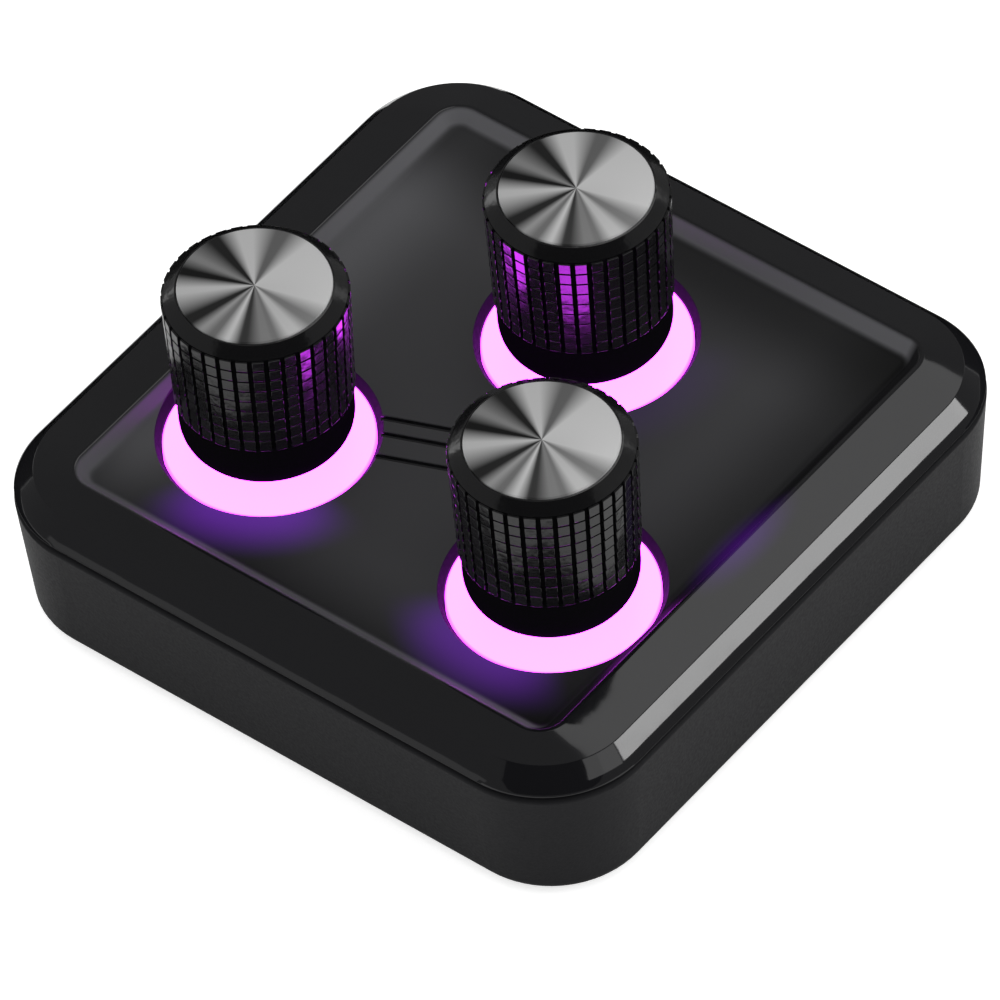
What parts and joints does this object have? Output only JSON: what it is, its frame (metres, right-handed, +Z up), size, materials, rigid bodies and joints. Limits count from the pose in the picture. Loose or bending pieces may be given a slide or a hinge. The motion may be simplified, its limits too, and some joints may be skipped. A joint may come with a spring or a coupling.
{
  "type": "macro pad with rotary knobs",
  "caption": "Low square desktop control pad with a bevelled black cover, knurled push-and-turn knobs with aluminium caps and a glowing ring under each knob.",
  "frame": {"origin": "middle of the pad at the level of the surface that its feet stand on", "axes": "+Z up, +X to the user's right, +Y to the back, where the cable socket is"},
  "size_m": [0.06, 0.06, 0.0309],
  "materials": {
    "case_plastic": "fine satin black",
    "cover_plastic": "polished black",
    "board_laminate": "solder mask over glass fibre laminate",
    "chip_epoxy": "moulded epoxy",
    "socket_steel": "nickel plated",
    "socket_insert": "moulded",
    "screw_steel": "zinc plated",
    "foot_rubber": "matt rubber",
    "ring_diffuser": "milky diffuser, lit pink and violet",
    "led_package": "white package",
    "encoder_plastic": "moulded",
    "zinc_bushing": "die-cast",
    "clip_steel": "plated sheet",
    "tinned_terminal": "tin plated",
    "spring_steel": "bright sheet",
    "plunger_plastic": "moulded",
    "shaft_metal": "turned",
    "core_plastic": "moulded",
    "knob_plastic": "smooth black with moulded knurling",
    "cap_aluminium": "turned face, clear anodised"
  },
  "bodies": {
    "case": {"base_shell": "case_plastic", "top_cover": "cover_plastic", "circuit_board": "board_laminate", "controller_chip": "chip_epoxy", "socket_shell": "socket_steel", "socket_tongue": "socket_insert", "case_screws": "screw_steel", "foot_front_left": "foot_rubber", "foot_front_right": "foot_rubber", "foot_back_left": "foot_rubber", "foot_back_right": "foot_rubber", "light_ring_left": "ring_diffuser", "light_ring_right": "ring_diffuser", "light_ring_back": "ring_diffuser", "ring_leds_left": "led_package", "ring_leds_right": "led_package", "ring_leds_back": "led_package", "encoder_housing_left": "encoder_plastic", "encoder_housing_right": "encoder_plastic", "encoder_housing_back": "encoder_plastic", "encoder_bushing_left": "zinc_bushing", "encoder_bushing_right": "zinc_bushing", "encoder_bushing_back": "zinc_bushing", "encoder_clip_left": "clip_steel", "encoder_clip_right": "clip_steel", "encoder_clip_back": "clip_steel", "encoder_pins_left": "tinned_terminal", "encoder_pins_right": "tinned_terminal", "encoder_pins_back": "tinned_terminal", "detent_spring_left": "spring_steel", "detent_spring_right": "spring_steel", "detent_spring_back": "spring_steel", "push_dome_left": "spring_steel", "push_dome_right": "spring_steel", "push_dome_back": "spring_steel"},
    "plunger_left": {"push_plunger_left": "plunger_plastic"},
    "knob_left": {"shaft_left": "shaft_metal", "knob_core_left": "core_plastic", "knob_sleeve_left": "knob_plastic", "knob_cap_left": "cap_aluminium"},
    "plunger_right": {"push_plunger_right": "plunger_plastic"},
    "knob_right": {"shaft_right": "shaft_metal", "knob_core_right": "core_plastic", "knob_sleeve_right": "knob_plastic", "knob_cap_right": "cap_aluminium"},
    "plunger_back": {"push_plunger_back": "plunger_plastic"},
    "knob_back": {"shaft_back": "shaft_metal", "knob_core_back": "core_plastic", "knob_sleeve_back": "knob_plastic", "knob_cap_back": "cap_aluminium"}
  },
  "joints": [
    {"name": "press_left", "type": "slide", "parent": "case", "child": "plunger_left", "axis": [0, 0, -1], "range_m": [0, 0.0005], "stiffness_N_per_m": 800, "springref_m": -0.003, "deforming": ["push_dome_left"]},
    {"name": "turn_left", "type": "hinge", "parent": "plunger_left", "child": "knob_left", "pos_m": [-0.0142, -0.0114, 0.0205], "axis": [0, 0, 1], "continuous": true},
    {"name": "press_right", "type": "slide", "parent": "case", "child": "plunger_right", "axis": [0, 0, -1], "range_m": [0, 0.0005], "stiffness_N_per_m": 800, "springref_m": -0.003, "deforming": ["push_dome_right"]},
    {"name": "turn_right", "type": "hinge", "parent": "plunger_right", "child": "knob_right", "pos_m": [0.0142, -0.0114, 0.0205], "axis": [0, 0, 1], "continuous": true},
    {"name": "press_back", "type": "slide", "parent": "case", "child": "plunger_back", "axis": [0, 0, -1], "range_m": [0, 0.0005], "stiffness_N_per_m": 800, "springref_m": -0.003, "deforming": ["push_dome_back"]},
    {"name": "turn_back", "type": "hinge", "parent": "plunger_back", "child": "knob_back", "pos_m": [0, 0.0113, 0.0205], "axis": [0, 0, 1], "continuous": true}
  ]
}
